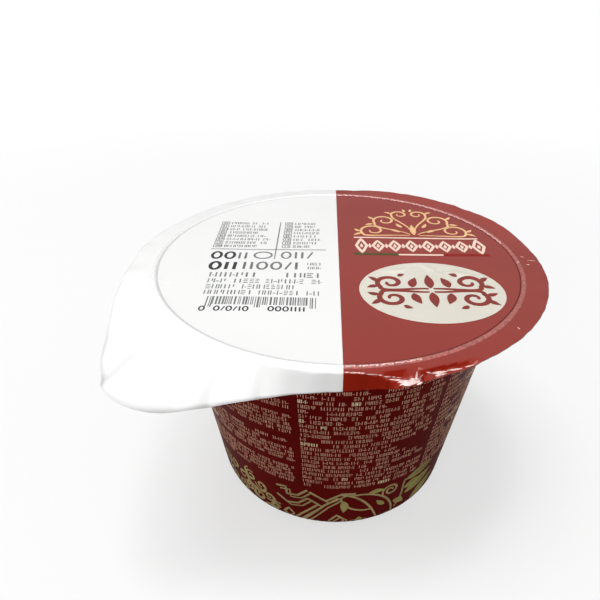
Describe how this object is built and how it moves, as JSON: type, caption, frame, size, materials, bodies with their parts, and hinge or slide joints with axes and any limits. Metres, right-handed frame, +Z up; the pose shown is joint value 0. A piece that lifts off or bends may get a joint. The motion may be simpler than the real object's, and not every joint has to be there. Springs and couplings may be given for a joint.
{
  "type": "sealed burrata cup",
  "caption": "Shut tapered plastic cup of fresh cheese with a heat-sealed film lid, a folded front edge and a drooping pull tab.",
  "frame": {"origin": "centre of the cup's flat underside", "axes": "+Z up towards the lid; -Y is the front, where the film is folded down; the pull tab points to -X and -Y"},
  "size_m": [0.1096, 0.1073, 0.0702],
  "materials": {
    "printed_cup": "glossy dark red printed plastic",
    "film_lid": "satin printed film, one half red and one half white"
  },
  "bodies": {
    "root": {"cup": "printed_cup", "lid_film": "film_lid"}
  },
  "joints": []
}
